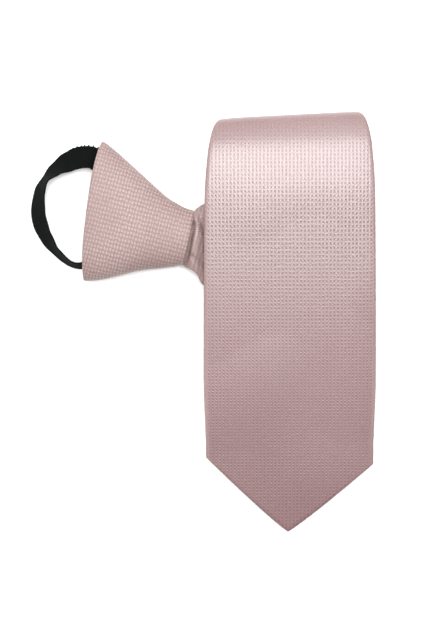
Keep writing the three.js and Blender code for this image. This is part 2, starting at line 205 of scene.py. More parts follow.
ROLL_END = FRONT + ROLL_ARC
FOLD_AT = ROLL_END + BACK_RUN
MOUTH_AT = FOLD_AT + TAIL_RUN
BACK_MIDDLE = THICKNESS / 2
FRONT_MIDDLE = BACK_MIDDLE + 2 * ROLL_RADIUS
FOLD_MIDDLE = BACK_MIDDLE + 2 * FOLD_RADIUS
MOUTH_HEIGHT = RIM_HEIGHT * KNOT_SECTIONS[0][3]
CLOSED_FLOOR = max(KNOT_WALL, THICKNESS) + CLEARANCE
TUCK_FLOOR = CLOSED_FLOOR + CLOSED_HEIGHT + CLEARANCE
TUCK_ROOF = MOUTH_HEIGHT - KNOT_WALL - CLEARANCE
TUCK_THICKNESS = TUCK_ROOF - TUCK_FLOOR
TUCK_MIDDLE = (TUCK_ROOF + TUCK_FLOOR) / 2


def in_knot(along, across, height):
    """Points of the knot's own frame, in the plan's millimetres."""
    along, across, height = np.broadcast_arrays(along, across, height)
    place = MOUTH + along[..., None] * TAIL_HEADING + across[..., None] * TAIL_UP
    return np.concatenate([place, height[..., None]], axis=-1)


def plan_origin():
    """Where the plan's origin lies in the frame, found from the closed zip's box."""
    start = TUCKED + CLOSED_START
    corners = in_knot(np.array([start, start, start - CLOSED_LENGTH, start - CLOSED_LENGTH]),
                      np.array([1, -1, 1, -1]) * CLOSED_WIDTH / 2, 0.0)
    low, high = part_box("closed_zip")
    middle = (np.array(low) + np.array(high)) / 2 / MM
    return (middle - (corners.min(axis=0) + corners.max(axis=0)) / 2)[:2]


ORIGIN = plan_origin()


def half_width(along):
    """Half the strip's width at a place along it."""
    return smooth_table(STRIP_WIDTHS, 1, along / MOUTH_AT) * WIDTH / 2


def roll_profile():
    """The roll seen from its end: a round bend that eases in from the front and out behind."""
    eased = SOFT_LENGTH * SOFT_TURN / 3
    radius = (ROLL_RADIUS - eased) / math.cos(SOFT_TURN)
    round_length = radius * (math.pi - 2 * SOFT_TURN)
    length = 2 * SOFT_LENGTH + round_length
    run = np.linspace(0, length, ROLL_SAMPLES)
    soft = SOFT_TURN * (np.minimum(run, length - run) / SOFT_LENGTH) ** 2
    turn = np.where(run < length / 2, soft, math.pi - soft)
    middle = SOFT_TURN + (run - SOFT_LENGTH) / radius
    in_round = (run > SOFT_LENGTH) & (run < length - SOFT_LENGTH)
    turn = np.where(in_round, middle, turn)
    step = run[1] - run[0]
    mid = (turn[1:] + turn[:-1]) / 2
    out = np.concatenate([[0], np.cumsum(np.cos(mid) * step)])
    down = np.concatenate([[0], np.cumsum(np.sin(mid) * step)])
    reach = (length - ROLL_ARC) / 2
    return run - reach, out - reach, down * 2 * ROLL_RADIUS / down[-1], turn, reach


ROLL_RUN, ROLL_OUT, ROLL_DOWN, ROLL_TURNED, ROLL_EASE = roll_profile()


def ramp_drop(share):
    """Share of the drop after a share of the slope: level at first, then a straight ramp."""
    bent = np.hypot(np.clip(share, 0, 1), SLOPE_BEND) - SLOPE_BEND
    return bent / (math.hypot(1, SLOPE_BEND) - SLOPE_BEND)


def lay_strip(across, along, above):
    """Lays points of the flat strip out, given above its middle surface on the face side."""
    across, along, above = np.broadcast_arrays(
        np.asarray(across, float), np.asarray(along, float), np.asarray(above, float))
    past = along - FRONT
    beside = across * ROLL_LINE[0] + past * ROLL_LINE[1]
    beyond = across * ROLL_AWAY[0] + past * ROLL_AWAY[1]
    slope = ramp_drop(-beyond / SLOPE_LENGTH)
    level = FRONT_MIDDLE - 2 * ROLL_RADIUS * slope
    front = np.stack([across + DRIFT * slope, past, level + above], axis=-1)
    turn = np.interp(beyond, ROLL_RUN, ROLL_TURNED)
    out = np.interp(beyond, ROLL_RUN, ROLL_OUT) - np.maximum(beyond - ROLL_RUN[-1], 0)
    out = out + above * np.sin(turn)
    plan = beside[..., None] * ROLL_LINE + out[..., None] * ROLL_AWAY
    height = level - np.interp(beyond, ROLL_RUN, ROLL_DOWN) + above * np.cos(turn)
    over = (plan - FOLD_PLACE) @ FOLD_AWAY
    over = np.where(beyond < ROLL_RUN[-1], -1.0, over)
    turn = np.clip(over, 0, FOLD_ARC) / FOLD_RADIUS
    reach = FOLD_RADIUS + above
    shift = reach * np.sin(turn) - np.maximum(over, 0) - np.maximum(over - FOLD_ARC, 0)
    folded = plan + shift[..., None] * FOLD_AWAY
    lifted = BACK_MIDDLE + FOLD_RADIUS - reach * np.cos(turn)
    bent = np.concatenate([plan, height[..., None]], axis=-1)
    back = np.concatenate([folded, lifted[..., None]], axis=-1)
    tail = gather_tail(folded, along, above)
    result = np.where((beyond > -ROLL_EASE)[..., None], bent, front)
    result = np.where((over > 0)[..., None], back, result)
    return np.where((over >= FOLD_ARC)[..., None], tail, result)


def crease(before, across, fold):
    """Height of one straight fold, by millimetres before the mouth and across."""
    off = (before - fold["before"] - fold["slant"] * across) / fold["width"]
    return fold["height"] * np.exp(-off ** 2)


def gather_folds(before, across):
    """Height of the tail's small folds beside the knot, by millimetres before its mouth and across."""
    ridge = crease(before, across, RIDGE)
    groove = crease(before, across, GROOVE) * ease(across, *GROOVE["fade"])
    valley = crease(before, across, VALLEY) * ease(across, *VALLEY["fade"])
    lower = crease(before, across, LOWER_CREASE) * ease(before, *LOWER_CREASE["fade"])
    turn = WRINKLES["turn before"] * before + WRINKLES["turn across"] * across
    wrinkles = WRINKLES["height"] * np.sin(turn) * ease(across, *WRINKLES["fade"])
    return ridge - valley - lower - groove + wrinkles


def gather_tail(plan, along, above):
    """Narrows and thickens the tail towards the mouth of the knot."""
    from_mouth = plan - MOUTH
    before = -(from_mouth @ TAIL_HEADING) / TAIL_RUN
    across = from_mouth @ TAIL_UP
    up, down, rise, puff = (smooth_table(GATHERS, column, before) for column in (1, 2, 3, 4))
    share = np.clip(across / half_width(along), -1, 1)
    round_off = mix(1.0, np.sqrt(1 - TUCK_ROUND * share * share), np.minimum(1, puff))
    thick = mix(1.0, TUCK_THICKNESS / THICKNESS, puff) * round_off
    drawn = across * np.where(across > 0, up, down)
    height = mix(FOLD_MIDDLE, TUCK_MIDDLE, rise) + above * thick
    height = height + gather_folds(before * TAIL_RUN, drawn) * ease(above, 0.0, FOLD_SKIN)
    place = plan + (drawn - across)[..., None] * TAIL_UP
    return np.concatenate([place, height[..., None]], axis=-1)


# Mesh making.
def placed(points):
    """Plan millimetres to the frame's metres."""
    moved = np.array(points, float)
    moved[..., 0] += ORIGIN[0]
    moved[..., 1] += ORIGIN[1]
    return moved * MM


def new_object(name, mesh, material, weld=True):
    if weld:
        work = bmesh.new()
        work.from_mesh(mesh)
        bmesh.ops.remove_doubles(work, verts=work.verts, dist=1e-7)
        bmesh.ops.dissolve_degenerate(work, edges=work.edges, dist=1e-7)
        work.to_mesh(mesh)
        work.free()
    mesh.polygons.foreach_set("use_smooth", np.ones(len(mesh.polygons), bool))
    mesh.materials.append(material)
    piece = bpy.data.objects.new(name, mesh)
    bpy.context.scene.collection.objects.link(piece)
    return piece


def grid_object(name, points, flat, material, turned=False, drawn=0.0):
    """A piece from rows and columns of points, with each point's place on the flat cloth in mm.

    drawn is 1 where the cloth is drawn together and has lost its gloss, and 0 where it lies smooth.
    Where it is drawn, a lighter, greyer colour is painted on as sheen.
    """
    rows, columns = points.shape[:2]
    corner = np.arange(rows * columns).reshape(rows, columns)
    quads = np.stack([corner[:-1, :-1], corner[1:, :-1], corner[1:, 1:], corner[:-1, 1:]], axis=-1)
    quads = quads.reshape(-1, 4)
    if turned:
        quads = quads[:, ::-1]
    mesh = bpy.data.meshes.new(name)
    mesh.from_pydata(placed(points).reshape(-1, 3).tolist(), [], quads.tolist())
    uv = mesh.uv_layers.new(name="weave")
    uv.data.foreach_set("uv", (flat.reshape(-1, 2)[quads.reshape(-1)] * MM).ravel())
    share = mesh.attributes.new("drawn", "FLOAT", "POINT")
    share.data.foreach_set("value", np.broadcast_to(drawn, (rows, columns)).astype(float).ravel())
    mesh.update()
    return new_object(name, mesh, material)


def solid(piece, thickness, offset):
    """Gives a sheet its real thickness, and keeps the result in its mesh."""
    change = piece.modifiers.new("thickness", "SOLIDIFY")
    change.thickness = thickness * MM
    change.offset = offset
    change.use_even_offset = False
    graph = bpy.context.evaluated_depsgraph_get()
    mesh = bpy.data.meshes.new_from_object(piece.evaluated_get(graph))
    piece.modifiers.clear()
    piece.data = mesh
    return piece


# Materials. A small helper keeps the node sums readable.
class Nodes:
    def __init__(self, name):
        self.material = bpy.data.materials.new(name)
        self.material.use_nodes = True
        self.tree = self.material.node_tree
        self.shader = self.tree.nodes["Principled BSDF"]

    def node(self, kind, **settings):
        made = self.tree.nodes.new(kind)
        for key, value in settings.items():
            setattr(made, key, value)
        return made

    def feed(self, socket, value):
        if isinstance(value, (int, float)):
            socket.default_value = value
        elif isinstance(value, tuple):
            socket.default_value = value
        else:
            self.tree.links.new(value, socket)

    def sum(self, operation, *values):
        made = self.node("ShaderNodeMath", operation=operation)
        for socket, value in zip(made.inputs, values):
            self.feed(socket, value)
        return made.outputs[0]

    def weighed(self, values, shares):
        total = self.sum("MULTIPLY", values[0], shares[0])
        for value, share in zip(values[1:], shares[1:]):
            total = self.sum("MULTIPLY_ADD", value, share, total)
        return total

    def flat_place(self):
        uv = self.node("ShaderNodeUVMap", uv_map="weave")
        parts = self.node("ShaderNodeSeparateXYZ")
        self.tree.links.new(uv.outputs[0], parts.inputs[0])
        return uv.outputs[0], parts.outputs[0], parts.outputs[1]

    def noise(self, vector, scale, detail=2.0, rough=0.5):
        made = self.node("ShaderNodeTexNoise")
        self.feed(made.inputs["Vector"], vector)
        self.feed(made.inputs["Scale"], scale)
        self.feed(made.inputs["Detail"], detail)
        self.feed(made.inputs["Roughness"], rough)
        return made.outputs["Fac"]

    def ramp(self, value, low, high, to_low=0.0, to_high=1.0):
        made = self.node("ShaderNodeMapRange", interpolation_type="SMOOTHSTEP")
        for socket, given in zip(made.inputs, (value, low, high, to_low, to_high)):
            self.feed(socket, given)
        return made.outputs[0]

    def blend(self, share, a, b):
        made = self.node("ShaderNodeMix", data_type="RGBA")
        self.feed(made.inputs[0], share)
        self.feed(made.inputs[6], a)
        self.feed(made.inputs[7], b)
        return made.outputs[2]

    def bump(self, height, distance, normal=None):
        made = self.node("ShaderNodeBump")
        made.inputs["Strength"].default_value = 1.0
        made.inputs["Distance"].default_value = distance
        self.feed(made.inputs["Height"], height)
        if normal is not None:
            self.feed(made.inputs["Normal"], normal)
        return made.outputs[0]

    def finish(self, color, roughness, normal, **uniform):
        self.feed(self.shader.inputs["Base Color"], color)
        self.feed(self.shader.inputs["Roughness"], roughness)
        self.feed(self.shader.inputs["Normal"], normal)
        for name, value in uniform.items():
            self.shader.inputs[name.replace("_", " ")].default_value = value
        return self.material


LIGHT_PINK = (0.180, 0.098, 0.104, 1)
DEEP_PINK = (0.086, 0.045, 0.049, 1)
WARM_PINK = (0.146, 0.086, 0.078, 1)
# Painted sheen: lighter, greyer copies of the pink for the drawn cloth, standing in for the light its
# turned satin catches.
DRAWN_LIGHT_PAINTED_SHEEN = (0.325, 0.236, 0.227, 1)
DRAWN_DEEP_PAINTED_SHEEN = (0.105, 0.069, 0.069, 1)
TAPE_DARK = (0.0024, 0.0031, 0.0029, 1)
TAPE_LIGHT = (0.0046, 0.0056, 0.0053, 1)
TAPE_STREAK = (0.0034, 0.0046, 0.0043, 1)
NYLON_DARK = (0.010, 0.010, 0.010, 1)
NYLON_LIGHT = (0.022, 0.022, 0.023, 1)
METAL_DARK = (0.028, 0.028, 0.030, 1)
METAL_LIGHT = (0.060, 0.058, 0.055, 1)
LINING_DARK = (0.47, 0.31, 0.32, 1)
LINING_LIGHT = (0.52, 0.355, 0.36, 1)
FLOOR_WHITE = (0.93, 0.93, 0.93, 1)

# Shares of the lattice's waves: across, along, both slants and the steep one.
STITCH_SHARES = (0.36, 0.15, 0.16, 0.16, 0.10)
DRAWN_SHARES = (-0.30, -0.30, -0.06, -0.16, 0.08)
RELIEF_SHARES = (0.20, 0.20, 0.22, 0.18, 0.14)

# How the threads leave their even places: patches to the metre, the turn of the lattice where the
# cloth lies smooth, and what is added where it is drawn together.
WANDER = (320.0, 2.0, 2.6)
STRAY = (420.0, 2.6, 3.0)

# Fine detail of the surfaces: pitches in millimetres, patches to the metre, relief in metres.
THREAD_PITCH = 0.29
TAPE_RIB = 0.75
TAPE_PICK = 0.5
LINING_TWILL = 0.45
YARN_GRAIN = 1300.0
BROAD_PATCHES = 22.0
TAPE_FUZZ = 900.0
TAPE_STREAKS = 120.0
NYLON_GRAIN = 1500.0
METAL_GRAIN = 700.0
LINING_CLOUDS = 60.0
WEAVE_RELIEF = 0.000086
TAPE_RELIEF = 0.00006
FINE_RELIEF = 0.00002

# Changes along the cloth, as two places in metres and the values there.
RELIEF_DEEPENS = (0.115, 0.150, 0.60, 1.0)
RELIEF_FLATTENS = (0.157, 0.171, 1.0, 0.70)
STITCH_DULLNESS = (0.150, 0.175, -0.16, -0.06)


def lattice_waves(n, place, across, along, drawn):
    """The weave's lattice as five waves, with its threads a little off their even places."""
    strays = []
    for patches, smooth, added in (WANDER, STRAY):
        off = n.sum("SUBTRACT", n.noise(place, patches, 3.0), 0.5)
        strays.append(n.sum("MULTIPLY", off, n.sum("MULTIPLY_ADD", drawn, added, smooth)))
    turn_x = n.sum("MULTIPLY_ADD", across, 2 * math.pi / (WEAVE_ACROSS * MM), strays[0])
    beat = n.sum("SINE", n.sum("MULTIPLY_ADD", along, 2 * math.pi / (BEAT_LENGTH * MM), BEAT_START))
    picks = n.sum("MULTIPLY_ADD", along, 2 * math.pi / (WEAVE_ALONG * MM), strays[1])
    turn_y = n.sum("MULTIPLY_ADD", beat, BEAT_SHIFT, picks)
    turns = [turn_x, turn_y, n.sum("ADD", turn_x, turn_y), n.sum("SUBTRACT", turn_x, turn_y),
             n.sum("MULTIPLY_ADD", turn_x, 2.0, turn_y)]
    return [n.sum("COSINE", turn) for turn in turns]


def woven_pink(name):
    """Pale floats in a small lattice with darker stitches.

    Where the mesh says that the cloth is drawn together, the floats stand apart and shine less,
    and a lighter, greyer colour is painted there as sheen.
    """
    n = Nodes(name)
    drawn = n.node("ShaderNodeAttribute", attribute_name="drawn").outputs["Fac"]
    place, across, along = n.flat_place()
    cosines = lattice_waves(n, place, across, along, drawn)
    smooth_stitch = n.ramp(n.weighed(cosines, STITCH_SHARES), -0.75, 0.70)
    drawn_stitch = n.ramp(n.weighed(cosines, DRAWN_SHARES), -0.85, 0.70)
    change = n.sum("SUBTRACT", drawn_stitch, smooth_stitch)
    stitch = n.sum("MULTIPLY_ADD", drawn, change, smooth_stitch)
    lattice = n.weighed(cosines, RELIEF_SHARES)
    grain = n.noise(place, YARN_GRAIN, 2.0)

    # Its colours, with painted sheen: the drawn cloth gets lighter, greyer copies of the pink.
    mottle = n.sum("MULTIPLY_ADD", n.sum("SUBTRACT", grain, 0.5), 1.1, n.sum("MULTIPLY", stitch, 0.7))
    color = n.blend(mottle, LIGHT_PINK, DEEP_PINK)
    # Painted sheen: where drawn, the colour turns to the lighter, greyer pinks.
    color = n.blend(drawn, color, n.blend(mottle, DRAWN_LIGHT_PAINTED_SHEEN, DRAWN_DEEP_PAINTED_SHEEN))
    warm = n.ramp(n.noise(place, BROAD_PATCHES, 2.0), 0.38, 0.66, 0.0, 0.35)
    color = n.blend(warm, color, WARM_PINK)

    # Its gloss, which changes over the cloth with the stitches and with its drawing together.
    roughness = n.sum("MULTIPLY_ADD", grain, 0.06, n.ramp(lattice, -0.5, 0.8, 0.26, 0.35))
    roughness = n.sum("MULTIPLY_ADD", drawn, 0.21, roughness)
    gloss = n.sum("MULTIPLY_ADD", stitch, n.ramp(along, *STITCH_DULLNESS), 0.75)
    n.feed(n.shader.inputs["Specular IOR Level"], n.sum("MULTIPLY_ADD", drawn, -0.26, gloss))
    n.feed(n.shader.inputs["Sheen Weight"], n.sum("MULTIPLY_ADD", drawn, -0.45, 0.5))

    # Its relief: the lattice, its fine threads and their grain.
    threads = n.sum("SINE", n.sum("MULTIPLY", across, 2 * math.pi / (THREAD_PITCH * MM)))
    relief = n.ramp(lattice, -0.75, 0.70)
    height = n.sum("MULTIPLY_ADD", threads, 0.04, n.sum("MULTIPLY", relief, -1.0))
    height = n.sum("MULTIPLY_ADD", grain, 0.4, height)
    height = n.sum("MULTIPLY", height, n.ramp(along, *RELIEF_DEEPENS))
    height = n.sum("MULTIPLY", height, n.ramp(along, *RELIEF_FLATTENS))
    return n.finish(color, roughness, n.bump(height, WEAVE_RELIEF), IOR=1.5, Sheen_Roughness=0.3)


def black_tape_cloth(name):
    """A close black weave with fine ribs along the tape."""
    n = Nodes(name)
    place, across, along = n.flat_place()
    ribs = n.sum("SINE", n.sum("MULTIPLY", across, 2 * math.pi / (TAPE_RIB * MM)))
    picks = n.sum("SINE", n.sum("MULTIPLY", along, 2 * math.pi / (TAPE_PICK * MM)))
    fuzz = n.noise(place, TAPE_FUZZ, 3.0)
    streak = n.noise(place, TAPE_STREAKS, 2.0)
    color = n.blend(n.ramp(ribs, -1.0, 1.0, 0.0, 0.6), TAPE_DARK, TAPE_LIGHT)
    color = n.blend(n.ramp(streak, 0.4, 0.7, 0.0, 0.35), color, TAPE_STREAK)
    fine = n.sum("MULTIPLY_ADD", picks, 0.25, n.sum("MULTIPLY", fuzz, 0.4))
    height = n.sum("MULTIPLY_ADD", ribs, 0.5, fine)
    roughness = n.ramp(fuzz, 0.3, 0.7, 0.75, 0.92)
    return n.finish(color, roughness, n.bump(height, TAPE_RELIEF), Specular_IOR_Level=0.04)


def nylon_teeth(name):
    """Black moulded nylon, half glossy, with a fine grain."""
    n = Nodes(name)
    spot = n.node("ShaderNodeTexCoord").outputs["Object"]
    grain = n.noise(spot, NYLON_GRAIN, 2.0)
    color = n.blend(n.ramp(grain, 0.35, 0.7), NYLON_DARK, NYLON_LIGHT)
    roughness = n.ramp(grain, 0.3, 0.7, 0.38, 0.55)
    return n.finish(color, roughness, n.bump(grain, FINE_RELIEF), Specular_IOR_Level=0.5)


def slider_metal(name):
    """Dark lacquered metal."""
    n = Nodes(name)
    spot = n.node("ShaderNodeTexCoord").outputs["Object"]
    grain = n.noise(spot, METAL_GRAIN, 3.0)
    color = n.blend(n.ramp(grain, 0.4, 0.65), METAL_DARK, METAL_LIGHT)
    roughness = n.ramp(grain, 0.3, 0.7, 0.3, 0.45)
    return n.finish(color, roughness, n.bump(grain, FINE_RELIEF), Metallic=0.9)


def plain_lining(name):
    """A plain satin lining in the tie's own pink."""
    n = Nodes(name)
    place, across, along = n.flat_place()
    slant = n.sum("ADD", across, along)
    twill = n.sum("SINE", n.sum("MULTIPLY", slant, 2 * math.pi / (LINING_TWILL * MM)))
    color = n.blend(n.ramp(n.noise(place, LINING_CLOUDS, 3.0), 0.3, 0.7), LINING_DARK, LINING_LIGHT)
    roughness = n.ramp(twill, -1.0, 1.0, 0.34, 0.46)
    return n.finish(color, roughness, n.bump(twill, FINE_RELIEF), Specular_IOR_Level=0.6)


PINK = woven_pink("pink_weave")
BLACK = black_tape_cloth("black_tape")
TEETH = nylon_teeth("black_nylon")
METAL = slider_metal("dark_metal")
LINING = plain_lining("pink_lining")

# The strip's cloth: a shell that is folded round the edges and meets behind.
SHELL = 0.45        # thickness of the cloth itself
EDGE_ROUND = 0.95   # radius of the folded edges
EDGE_POWER = 7      # how near the edges the strip thins
LAP = 3.0           # how far one flap reaches over the other behind
LAP_SUNK = 0.5      # how far the covered flap is sunk in there
LAP_PROUD = 0.12    # how far the covering one stands proud
FLAP_MARGIN = 5.0   # cloth turned in along the pointed edges
OPEN_TO = 78.0      # how far up the flaps stay apart over the lining
OPEN_FROM = 40.0    # where they begin to draw together
SQUARE_FROM = 22.0  # how far before the mouth the tail's sections stand square
LINING_TOP = OPEN_TO + 6.0
LINING_GAP = 0.6    # how far the lining stays inside the folded edges
LINING_START = 2.0  # how far it stays off the pointed ones
LINING_BELOW = 0.72  # how far it lies below the middle of the strip's thickness
LINING_THICKNESS = 0.3
LINING_ROWS = 40
LINING_COLUMNS = 41

# How finely the strip is divided: columns of its sections, rows of its stretches.
TURN_COLUMNS = 9
FACE_COLUMNS = 97
FLAP_COLUMNS = 30
FRONT_ROWS, ROLL_ROWS, BACK_ROWS = 85, 45, 26
FOLD_ROWS, TAIL_ROWS, TUCKED_ROWS = 17, 71, 8

# Rows of the pointed part, as share of its height and fullness of the cloth there.
POINT_ROWS = [(0.0, 0.2), (0.004, 0.6), (0.012, 0.9), (0.03, 1.0)]
POINT_ROWS += [(share, 1.0) for share in np.linspace(0.07, 1.0, 22)]

# The slow waves of the laid cloth: height, millimetres to the radian along and across, and start.
SLOW_WAVES = [(0.16, 23.0, 31.0, 0.0), (0.12, 13.0, -17.0, 1.3), (0.08, 47.0, 9.5, 0.5)]
WAVES_FROM = 30.0   # how far from the point they have their full height
WAVES_TO = 40.0     # the same before the roll

# How far the cloth has lost its gloss and is painted lighter as sheen along its folded edges, from one
# distance to the next from the edge, and on the roll, from one distance to the next past the front's
# end.
EDGE_DULL_AND_PAINTED_SHEEN = 0.8
EDGE_BAND = (2.4, 0.2)
ROLL_DULL_AND_PAINTED_SHEEN = 0.5
ROLL_BAND = (-4.0, 8.0)


def swell(share):
    """Half thickness of the strip at a share of its half width, thinner at its edges."""
    return mix(THICKNESS / 2, EDGE_ROUND, np.abs(share) ** EDGE_POWER)


def slow_waves(across, along):
    """Slow unevenness of the laid cloth, in millimetres."""
    return sum(height * np.sin(along / length + across / width + start)
               for height, length, width, start in SLOW_WAVES)


def point_edge(share, half):
    """Where the pointed edge lies along the strip, at a share of its half width."""
    peak = POINT_SHIFT / half
    side = np.where(share > peak, 1.0, -1.0)
    climb = (share - peak) / (side - peak)
    return climb ** POINT_BOW * (POINT_HEIGHT - side * POINT_LEAN)


def flap_reach(along, half):
    """How far the folded cloth reaches in from the edge behind."""
    return mix(FLAP_MARGIN, half + LAP / 2, ease(along, OPEN_FROM, OPEN_TO))


def strip_section(along, half):
    """Round one section: distance across, height above the middle and place on the flat cloth."""
    inner = half - EDGE_ROUND
    reach = flap_reach(along, half)
    turn = np.linspace(0, math.pi, TURN_COLUMNS)[1:-1]
    arc = EDGE_ROUND * math.pi
    face = np.linspace(inner, -inner, FACE_COLUMNS)
    face_above = swell(face / half)
    flap = np.linspace(0, 1, FLAP_COLUMNS)
    right = half - reach + (inner - half + reach) * flap
    right_above = -swell(right / half) + LAP_SUNK * ease(LAP - right, 0.0, LAP)
    left = -inner + (reach - EDGE_ROUND) * flap
    left_above = -swell(left / half) - LAP_PROUD * ease(left, -LAP * 2, LAP)
    across = np.concatenate([
        right, inner + EDGE_ROUND * np.sin(turn), face,
        -inner - EDGE_ROUND * np.sin(turn), left])
    above = np.concatenate([
        right_above, -EDGE_ROUND * np.cos(turn), face_above,
        EDGE_ROUND * np.cos(turn), left_above])
    flat = np.concatenate([
        inner + arc + (inner - right), inner + arc - EDGE_ROUND * turn, face,
        -inner - EDGE_ROUND * turn, -inner - arc - (left + inner)])
    return across, above, flat


def strip_stations():
    """Places of the sections along the strip and how much each slants."""
    fold_end = FOLD_AT + FOLD_ARC / (FOLD_AWAY @ BACK_HEADING)
    front = np.linspace(POINT_ZONE, FRONT, FRONT_ROWS)[1:]
    roll = np.linspace(FRONT, ROLL_END, ROLL_ROWS)[1:]
    back = np.linspace(ROLL_END, FOLD_AT, BACK_ROWS)[1:]
    fold = np.linspace(FOLD_AT, fold_end, FOLD_ROWS)[1:]
    tail = np.linspace(fold_end, MOUTH_AT, TAIL_ROWS)[1:]
    tucked = np.linspace(MOUTH_AT, MOUTH_AT + TUCKED, TUCKED_ROWS)[1:]
    roll_slant = math.tan(ROLL_TURN)
    slants = [
        roll_slant * ease(front, POINT_ZONE, FRONT),
        np.full(len(roll), roll_slant),
        mix(roll_slant, FOLD_SLANT, (back - ROLL_END) / BACK_RUN),
        np.full(len(fold), FOLD_SLANT),
        FOLD_SLANT * (1 - ease(tail, fold_end, MOUTH_AT - SQUARE_FROM)),
        np.zeros(len(tucked))]
    return np.concatenate([front, roll, back, fold, tail, tucked]), np.concatenate(slants)


def gloss_lost_and_painted_sheen(across, along, half):
    """How far gloss is lost and painted sheen lightens the colour: in the tail, the folded edges and
    the roll.
    """
    tail = ease(along, ROLL_END, FOLD_AT)
    edge = EDGE_DULL_AND_PAINTED_SHEEN * ease(np.abs(across), half - EDGE_BAND[0], half - EDGE_BAND[1])
    roll = ROLL_DULL_AND_PAINTED_SHEEN * ease(along, FRONT + ROLL_BAND[0], FRONT + ROLL_BAND[1])
    return np.maximum(tail, np.maximum(edge, roll))


def front_lift(lift, along):
    """The waves only lift the front blade, and never push it under the surface."""
    rise = np.zeros((len(lift), 3))
    rise[:, 2] = np.maximum(lift, 0.0) * (along < FRONT)
    return rise


def strip_rows():
    """Each section's points, their places on the flat cloth, and how far its gloss is lost and sheen
    painted.
    """
    for share, fullness in POINT_ROWS:
        half = float(half_width(POINT_ZONE * share))
        across, above, flat = strip_section(POINT_ZONE * share, half)
        along = mix(point_edge(np.clip(across / half, -1, 1), half), POINT_ZONE, share)
        lift = slow_waves(across, along) * ease(along, 0, WAVES_FROM)
        points = lay_strip(across, along, above * fullness) + front_lift(lift, along)
        yield points, np.stack([flat, along], axis=-1), gloss_lost_and_painted_sheen(across, along, half)
    for place, slant in zip(*strip_stations()):
        half = float(half_width(place))
        across, above, flat = strip_section(place, half)
        along = place + slant * across
        lift = slow_waves(across, along) * ease(FRONT - along, 0, WAVES_TO)
        points = lay_strip(across, along, above) + front_lift(lift, along)
        yield points, np.stack([flat, along], axis=-1), gloss_lost_and_painted_sheen(across, along, half)


def strip_cloth():
    """The whole strip as one shell of cloth, from its point into the knot."""
    # drawn carries the painted sheen along the folded edges, on the roll and in the tail.
    points, flats, drawn = (np.array(column) for column in zip(*strip_rows()))
    return solid(grid_object("strip_cloth", points, flats, PINK, drawn=drawn), SHELL, -1)


def tip_lining():
    """The lining that shows behind the point, between the flaps."""
    rows, flats = [], []
    for share in np.linspace(0.05, 1.0, LINING_ROWS):
        half = float(half_width(LINING_TOP * share)) - EDGE_ROUND - LINING_GAP
        across = np.linspace(-half, half, LINING_COLUMNS)
        edge = point_edge(np.clip(across / half, -1, 1), half) + LINING_START
        along = mix(edge, LINING_TOP, share)
        laid = lay_strip(across, along, -LINING_BELOW)
        laid[:, 2] += np.maximum(slow_waves(across, along) * ease(along, 0, WAVES_FROM), 0)
        rows.append(laid)
        flats.append(np.stack([across, along], axis=-1))
    piece = grid_object("tip_lining", np.array(rows), np.array(flats), LINING, turned=True)
    return solid(piece, LINING_THICKNESS, 0)


# The knot: a wrap of the same cloth over a hollow form.
KNOT_COLUMNS = 161
KNOT_ROWS = 61
GIRTH_STEPS = 180
GIRTH_ROWS = 21
FLOOR_GAP = 0.02

# The rounded lips at its small end and at its rim: place along the knot, and how far drawn in.
SMALL_LIP = [(0.0, 0.55), (0.006, 0.2), (0.016, 0.05), (0.03, 0.0)]
RIM_LIP = [(0.97, 0.0), (0.985, 0.05), (0.994, 0.2), (1.0, 0.55)]


def knot_surface(along, turn, inset):
    """Place along, place across and height of the knot's surface, drawn in by inset."""
    up = smooth_table(KNOT_SECTIONS, 1, along) * RIM_HALF - inset
    down = smooth_table(KNOT_SECTIONS, 2, along) * RIM_HALF - inset
    height = smooth_table(KNOT_SECTIONS, 3, along) * RIM_HEIGHT
    edge = height * EDGE_SHARE
    side, lift = np.cos(turn), np.sin(turn)
    top = (height - inset - edge) * np.abs(lift) ** CROWN
    under = (edge - inset) * np.minimum(1, FOOT_TURN * np.abs(lift))
    bow = RIM_LEAN * (side - 1) + RIM_BOW * (1 - np.abs(side) ** 3)
    lip = mix(LIP_UP, LIP_DOWN, (1 - side) / 2) * np.clip(1 - along / LIP_SHARE, 0, 1) ** 2
    place = KNOT_LENGTH * along + bow * along * along - lip
    across = side * np.where(side > 0, up, down)
    return place, across, edge + np.where(lift > 0, top, -under)


def knot_cloth():
    """The knot's wrap, inside and out. Its seam is underneath."""
    turn = np.linspace(-math.pi / 2, 1.5 * math.pi, KNOT_COLUMNS)
    fine = WEAVE_ACROSS / KNOT_WEAVE
    between = [(along, 0.0) for along in np.linspace(0.05, 0.95, KNOT_ROWS)]
    outside = SMALL_LIP + between + RIM_LIP
    inside = [(along, KNOT_WALL - inset) for along, inset in outside[::-1]]
    points, flats = [], []
    for along, inset in outside + inside + outside[:1]:
        place, across, height = knot_surface(np.full(KNOT_COLUMNS, along), turn, inset)
        points.append(in_knot(place, across, np.maximum(height, FLOOR_GAP)))
        step = np.hypot(np.diff(across), np.diff(height))
        girth = np.concatenate([[0], np.cumsum(step)])
        girth -= np.interp(math.pi / 2, turn, girth)
        flats.append(np.stack([place * fine, KNOT_CUT - girth], axis=-1))
    # drawn=1.0 gives the whole knot the painted sheen colour.
    return grid_object("knot_cloth", np.array(points), np.array(flats), PINK, turned=True, drawn=1.0)


def knot_girths():
    """The way round the knot's outside, at even places from its small end to its rim."""
    turn = np.linspace(0, 2 * math.pi, GIRTH_STEPS + 1)
    girths = []
    for along in np.linspace(0, 1, GIRTH_ROWS):
        _, across, height = knot_surface(np.full(len(turn), along), turn, 0.0)
        girths.append(np.hypot(np.diff(across), np.diff(height)).sum())
    return girths


# The neck loop.
SPLINE_STEPS = 24
LOOP_ROWS = 320
LOOP_COLUMNS = 25
TAPE_CLOTH = 0.75   # thickness of the tape's cloth
TAPE_CUP = 0.25     # how far its edges curl
TAPE_SINK = 0.2     # how far its middle lies off the line


